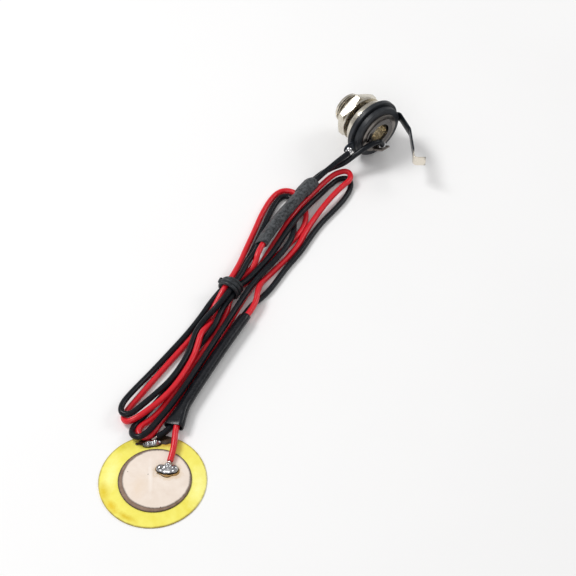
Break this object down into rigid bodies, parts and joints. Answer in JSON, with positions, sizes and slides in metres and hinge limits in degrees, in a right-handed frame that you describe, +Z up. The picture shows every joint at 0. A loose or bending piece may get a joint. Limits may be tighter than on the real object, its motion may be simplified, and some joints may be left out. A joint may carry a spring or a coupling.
{
  "type": "drum trigger transducer",
  "caption": "Pre-wired piezo disc for drum triggers: brass-backed ceramic disc, red and black lead in a tied hank, shrink sleeves and an open panel jack.",
  "frame": {"origin": "centre of the disc's underside, on the surface that the part lies on", "axes": "+X from the disc to the jack along the hank, +Z up out of the disc's silvered face"},
  "size_m": [0.1515, 0.038, 0.0178],
  "materials": {
    "brass": "matt, bright yellow, darker at the cut edge",
    "ceramic_brown": "matt dark brown",
    "silvered_face": "satin, pale cream silver",
    "tinned_copper": "bright tinned strands",
    "solder": "bright, slightly wrinkled",
    "red_insulation": "satin gloss",
    "black_insulation": "satin gloss",
    "shrink_sleeve": "satin, slightly wrinkled",
    "tie_wire": "satin",
    "nickel_plate": "bright nickel plate",
    "black_wafer": "matt phenolic sheet",
    "blued_spring": "dark blue-black, worn bright at the contact"
  },
  "bodies": {
    "root": {"brass_plate": "brass", "ceramic_disc": "ceramic_brown", "silver_electrode": "silvered_face", "red_core": "tinned_copper", "black_core": "tinned_copper", "electrode_solder": "solder", "plate_solder": "solder", "red_wire": "red_insulation", "black_wire": "black_insulation", "red_splice": "solder", "black_splice": "solder", "tip_lead": "black_insulation", "earth_lead": "black_insulation", "disc_sleeve": "shrink_sleeve", "joint_sleeve": "shrink_sleeve", "cover_sleeve": "shrink_sleeve", "binding_tie": "tie_wire", "jack_bushing": "nickel_plate", "hex_nut": "nickel_plate", "flat_washer": "nickel_plate", "front_wafer": "black_wafer", "tip_spring": "blued_spring", "rear_wafer": "black_wafer", "earth_ring": "nickel_plate", "tip_solder": "solder", "earth_solder": "solder"}
  },
  "joints": []
}
